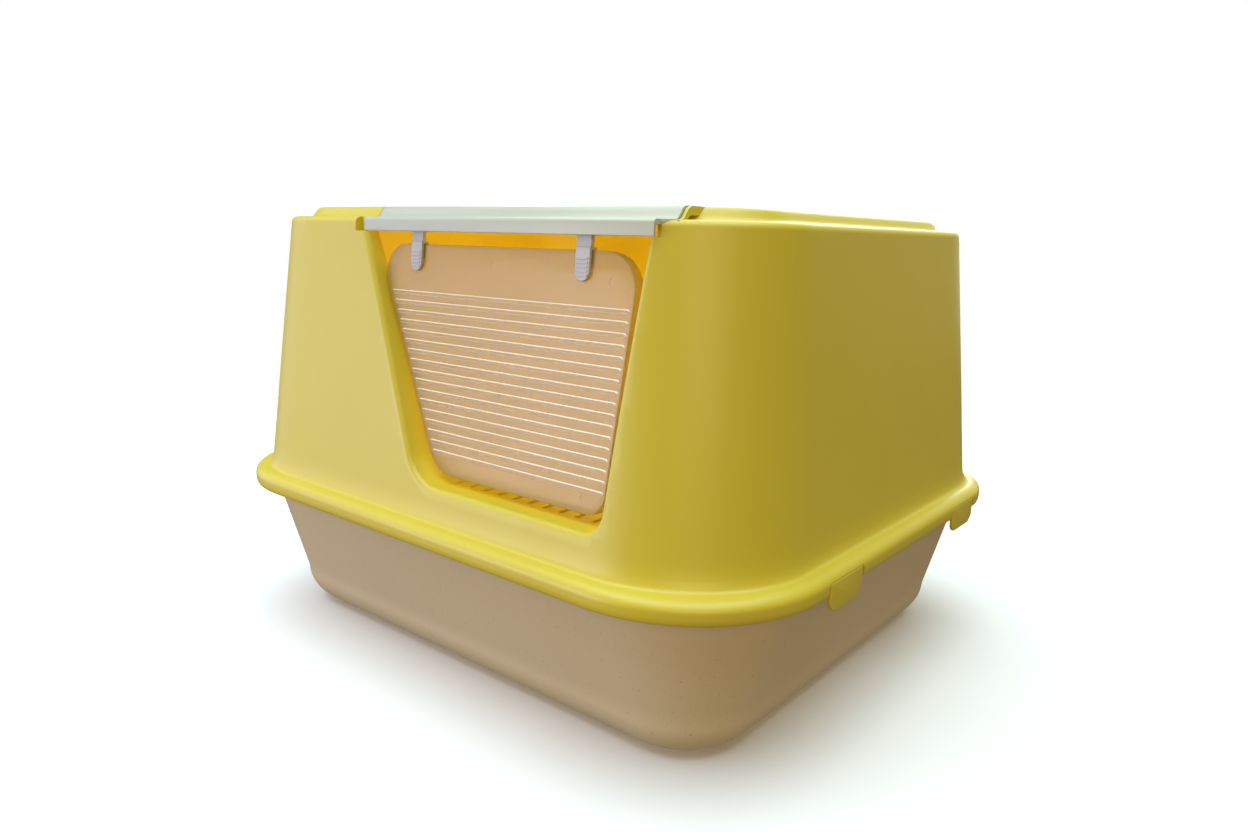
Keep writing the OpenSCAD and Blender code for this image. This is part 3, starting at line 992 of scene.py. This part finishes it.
@dataclass
class Door:
    """The frosted swing door and its two hanging clips, leaned as one."""

    rod: Span = (-200.9, 339.4)
    lean: float = 4.23
    top: float = -11.4
    low: float = -176.2
    top_x: Span = (-76.0, 181.4)
    low_x: Span = (3.0, 165.2)
    edge_slopes: Span = (0.479, 0.0985)
    sheet: float = 2.0
    face: float = -0.2
    rim: float = 8.0
    bars: int = 17
    bar_first: float = -46.9
    bar_gaps: Span = (3.0, 1.2)
    pitch: float = 7.1
    bar_height: float = 4.6
    proud: float = 0.7
    slope: float = 1.35
    bar_zone: Span = (-166.0, -42.0)
    marks: tuple = ((-52, -30), (56, -25), (162, -30), (24, -166), (150, -166))
    mark_r: float = 3.6
    rod_hole: float = 1.65
    ridges: int = 5
    ridge_first: float = -27.6
    ridge_pitch: float = 2.6
    clip_x: Span = (-25.3, 137.2)
    clip_w: float = 12.2
    clip_drop: float = 30.6

    def outline(self, shrink: float) -> Line:
        """Return the sheet's outline in (x, z), measured down from the rod."""
        top, low = self.top - shrink, self.low + shrink
        return rounded([(self.low_x[0] + shrink * 0.72, low, 28 - shrink),
                        (self.low_x[1] - shrink * 1.05, low, 16 - shrink),
                        (self.top_x[1] - shrink, top, 24 - shrink),
                        (self.top_x[0] + shrink * 1.45, top, 22 - shrink)], 12)

    def lean_out(self, obj: bpy.types.Object) -> None:
        """Turn a piece drawn from the rod axis by the lean, and hang it there."""
        turn = Matrix.Rotation(math.radians(-self.lean), 4, "X")
        place = Matrix.Translation(Vector((0, self.rod[0], self.rod[1])) * MM)
        obj.data.transform(place @ turn)
        obj.data.update()

    def bar(self, i: int) -> bpy.types.Object:
        """Model one raised bar across the sheet, with sloped sides."""
        z = self.bar_first - i * self.pitch
        h = self.bar_height / 2
        drop = self.top - z
        x0 = self.top_x[0] + self.edge_slopes[0] * drop + self.bar_gaps[0] + h
        x1 = self.top_x[1] - self.edge_slopes[1] * drop - self.bar_gaps[1] - h
        points = rounded([(x0 - h, z - h, h * 0.98), (x1 + h, z - h, h * 0.98),
                          (x1 + h, z + h, h * 0.98), (x0 - h, z + h, h * 0.98)], 6)
        bar = new_outline(points, "y", self.face - self.proud, 0.6)
        for vertex in bar.data.vertices:
            if vertex.co.y < 0:
                side = 1 if vertex.co.x > 0.05 else -1
                vertex.co.z = z * MM + (vertex.co.z - z * MM) * (1 - self.slope / h)
                vertex.co.x -= side * self.slope * MM
        bar.data.update()
        return bar

    def build_sheet(self, material: bpy.types.Material,
                    bars: bpy.types.Material) -> None:
        """Model the sheet with its rim, bars and moulding marks.

        Args:
            material: The door's finish.
            bars: The finish of the bars' sloped sides, made whiter as a painted
                highlight for the light their edges catch.
        """
        door = new_outline(self.outline(0), "y", self.face, self.rim)
        soften(door, 0.6, 3, 60.0)
        boolean(door, new_outline(self.outline(1.8), "y", self.sheet - 0.2,
                                  self.rim + 4), "DIFFERENCE")
        for c in self.clip_x:
            half = self.clip_w / 2 + 0.6
            boolean(door, new_block((c - half, c + half),
                                    (self.sheet - 0.2, self.rim + 1), (-26, -11)),
                    "DIFFERENCE")
        boolean(door, join_pieces([self.bar(i) for i in range(self.bars)]), "UNION")
        for x, z in self.marks:
            bpy.ops.mesh.primitive_cylinder_add(
                vertices=32, radius=self.mark_r * MM, depth=1.0 * MM,
                location=Vector((x, -0.58, z)) * MM,
                rotation=(math.radians(90), 0, 0))
            mark = bpy.context.object
            seat_object(mark)
            bpy.ops.transform.translate(value=(0, 0.15 * MM, 0))
            boolean(door, mark, "DIFFERENCE")
        self.lean_out(door)
        finish_piece(door, "door_sheet", "door_body", "door_plastic", material,
                     "door_panel", smooth=20.0)
        door.data.materials.append(bars)
        # The bars' sloped sides take the whiter finish, a painted highlight along
        # their edges.
        tilt = math.tan(math.radians(self.lean))
        low, high = self.bar_zone
        for face in door.data.polygons:
            y, z = face.center.y / MM - self.rod[0], face.center.z / MM - self.rod[1]
            raised = y - z * tilt < self.face - 0.05
            sloped = face.normal.y > -0.97
            if raised and sloped and low < z < high:
                face.material_index = 1

    def build_clip(self, x: float, word: str, material: bpy.types.Material) -> None:
        """Model one clip: eye, bridge, front leg with ridges, and rear leg.

        Args:
            x: The middle of the clip.
            word: left or right.
            material: The clips' finish.
        """
        w = self.clip_w / 2
        leg = rounded([(x - w, -self.clip_drop, w * 0.97),
                       (x + w, -self.clip_drop, w * 0.97),
                       (x + w, -9.6, 0), (x - w, -9.6, 0)], 8)
        clip = new_outline(leg, "y", -2.6, -0.25)
        soften(clip, 0.6, 3, 60.0)
        parts = [new_rod((x - w, x + w), 0, 0, 3.0, 40),
                 new_block((x - w, x + w), (-1.9, -0.3), (-10.4, -1), 0.3),
                 new_block((x - w, x + w), (-1.2, 1.2), (-11.2, -1), 0.3),
                 new_block((x - w, x + w), (-2.6, 4.1), (-11.2, -9.3), 0.4),
                 new_block((x - w, x + w), (self.sheet - 0.1, 4.1), (-22, -9.8), 0.5)]
        for i in range(self.ridges):
            z = self.ridge_first + i * self.ridge_pitch
            parts.append(new_block((x - w + 1.4, x + w - 1.4), (-3.2, -2.2),
                                   (z, z + 1.3), 0.15))
        for part in parts:
            boolean(clip, part, "UNION")
        boolean(clip, new_rod((x - w - 1, x + w + 1), 0, 0, self.rod_hole),
                "DIFFERENCE")
        self.lean_out(clip)
        finish_piece(clip, f"door_clip_{word}_looks", "door_body", "clip_plastic",
                     material, f"door_clip_{word}")


# ------------------------------------------------------------ studio


@dataclass
class Studio:
    """The floor, the soft lights and the camera."""

    spot: Spot = (0.508273, -0.616264, 0.33585)
    yaw: float = 0.683041
    pitch: float = 0.197957
    roll: float = 0.0245025
    lens: float = 25.578
    aim: Spot = (0.0, 0.0, 0.2)
    floor_r: float = 1.25
    floor_shade: float = 0.90
    sky_colour: Colour = (1.0, 0.814, 0.55)
    overhead_colour: Colour = (0.77, 0.95, 1.0)
    overhead_spread: float = 75.0
    glow_spot: Spot = (0.04, 0.02, 0.24)
    glow_colour: Colour = (1.0, 0.70, 0.30)
    glow_size: float = 0.09

    def camera(self) -> None:
        """Set the camera at the object's three-quarter view."""
        cy, sy = math.cos(self.yaw), math.sin(self.yaw)
        cp, sp = math.cos(self.pitch), math.sin(self.pitch)
        ahead = Vector((-sy * cp, cy * cp, -sp))
        right = Vector((cy, sy, 0))
        up = right.cross(ahead)
        cr, sr = math.cos(self.roll), math.sin(self.roll)
        r2, u2 = cr * right + sr * up, -sr * right + cr * up
        data = bpy.data.cameras.new("camera")
        data.sensor_fit = "HORIZONTAL"
        data.sensor_width = 36.0
        data.lens = self.lens
        data.clip_start = 0.01
        cam = bpy.data.objects.new("camera", data)
        bpy.context.scene.collection.objects.link(cam)
        turn = Matrix((r2, u2, -ahead)).transposed().to_4x4()
        cam.matrix_world = Matrix.Translation(self.spot) @ turn
        bpy.context.scene.camera = cam

    @staticmethod
    def lamp(name: str, kind: str, power: float,
             colour: Colour) -> bpy.types.Object:
        """Add a light of one kind to the scene."""
        data = bpy.data.lights.new(name, kind)
        data.energy = power
        data.color = colour
        lamp = bpy.data.objects.new(name, data)
        bpy.context.scene.collection.objects.link(lamp)
        return lamp

    def area(self, name: str, spot: Spot, size: float,
             power: float, colour: Colour, sheen_only: bool = False) -> None:
        """Add a square soft light that faces the box.

        Args:
            name: The light's name.
            spot: Where it stands.
            size: The length of its side.
            power: Its power in watts.
            colour: Its colour.
            sheen_only: Whether it gives gloss and no even light.
        """
        lamp = self.lamp(name, "AREA", power, colour)
        lamp.data.shape = "SQUARE"
        lamp.data.size = size
        lamp.location = spot
        aim = Vector(self.aim) - Vector(spot)
        lamp.rotation_euler = aim.to_track_quat("-Z", "Y").to_euler()
        lamp.visible_diffuse = not sheen_only
        lamp.visible_camera = False

    def overhead(self, strength: float, towards: Spot) -> None:
        """Add the broad even light from above."""
        lamp = self.lamp("overhead", "SUN", strength, self.overhead_colour)
        lamp.data.angle = math.radians(self.overhead_spread)
        lamp.rotation_euler = Vector(towards).to_track_quat("-Z", "Y").to_euler()

    def inside(self, power: float) -> None:
        """Add the light that comes through the thin walls into the cabin."""
        lamp = self.lamp("cabin_glow", "POINT", power, self.glow_colour)
        lamp.data.shadow_soft_size = self.glow_size
        lamp.location = self.glow_spot
        lamp.visible_camera = False
        lamp.visible_glossy = False
        lamp.visible_transmission = False

    def sky(self, seen: float, given: float) -> None:
        """Set a white backdrop and a dimmer even light from all round."""
        world = bpy.data.worlds.new("studio")
        bpy.context.scene.world = world
        world.use_nodes = True
        nodes, links = world.node_tree.nodes, world.node_tree.links
        light = nodes["Background"]
        light.inputs["Color"].default_value = (*self.sky_colour, 1)
        light.inputs["Strength"].default_value = given
        backdrop = nodes.new("ShaderNodeBackground")
        backdrop.inputs["Strength"].default_value = seen
        backdrop.inputs["Color"].default_value = (1, 1, 1, 1)
        path = nodes.new("ShaderNodeLightPath")
        mix = nodes.new("ShaderNodeMixShader")
        links.new(path.outputs["Is Camera Ray"], mix.inputs["Fac"])
        links.new(light.outputs["Background"], mix.inputs[1])
        links.new(backdrop.outputs["Background"], mix.inputs[2])
        links.new(mix.outputs["Shader"], nodes["World Output"].inputs["Surface"])

    def build(self) -> None:
        """Set the floor, the lights, the sky and the camera."""
        bpy.ops.mesh.primitive_circle_add(vertices=96, radius=self.floor_r,
                                          fill_type="NGON", location=(0, 0, -0.0004))
        floor = bpy.context.object
        floor.name = "floor"
        mat = bpy.data.materials.new("floor_white")
        mat.use_nodes = True
        shader = mat.node_tree.nodes["Principled BSDF"]
        shader.inputs["Base Color"].default_value = (*[self.floor_shade] * 3, 1)
        shader.inputs["Roughness"].default_value = 0.9
        shader.inputs["Specular IOR Level"].default_value = 0.0
        floor.data.materials.append(mat)
        floor.visible_diffuse = False
        floor.visible_glossy = False
        self.sky(1.0, 0.251)
        self.area("key", (-2.0, -1.2, 0.75), 2.4, 25.5, (0.603, 0.636, 1.0))
        self.overhead(3.7, (0.05, 0.02, -1.0))
        self.area("fill", (2.0, -1.9, 1.0), 1.4, 17.5, (1.0, 0.722, 0.413))
        self.area("back_sheen", (-1.2, 2.2, 1.1), 2.4, 75.0, (0.82, 0.96, 1), True)
        self.area("bounce", (-0.7, -1.5, 0.05), 0.9, 11.5, (0.89, 0.875, 1.0))
        self.area("rear", (0.2, 2.5, 0.9), 1.6, 7.0, (1.0, 0.9, 0.74))
        self.inside(1.95)
        bpy.context.scene.view_settings.view_transform = "Standard"
        self.camera()


def main() -> None:
    """Build every sub-assembly in order."""
    logging.basicConfig(level=logging.INFO, format="%(name)s %(message)s")
    hood_plastic = HOOD_FINISH.build()
    steel = PIN_FINISH.build()
    Studio().build()
    Tray().build(TRAY_FINISH.build())
    hood = Hood()
    hood.build(hood_plastic)
    LatchTabs().build(hood_plastic)
    Lid().build(hood, LID_FINISH.build())
    door = Door()
    door.build_sheet(DOOR_FINISH.build(), BAR_HIGHLIGHT_FINISH.build())
    white = CLIP_FINISH.build()
    for x, word in zip(door.clip_x, ("left", "right")):
        door.build_clip(x, word, white)
    for node in ("lid_hinge_pin_left", "lid_hinge_pin_right", "door_hinge_rod"):
        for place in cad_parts[node].material_slots:
            place.material = steel
        log.info("%s: brushed steel", node)


if __name__ == "__main__":
    main()
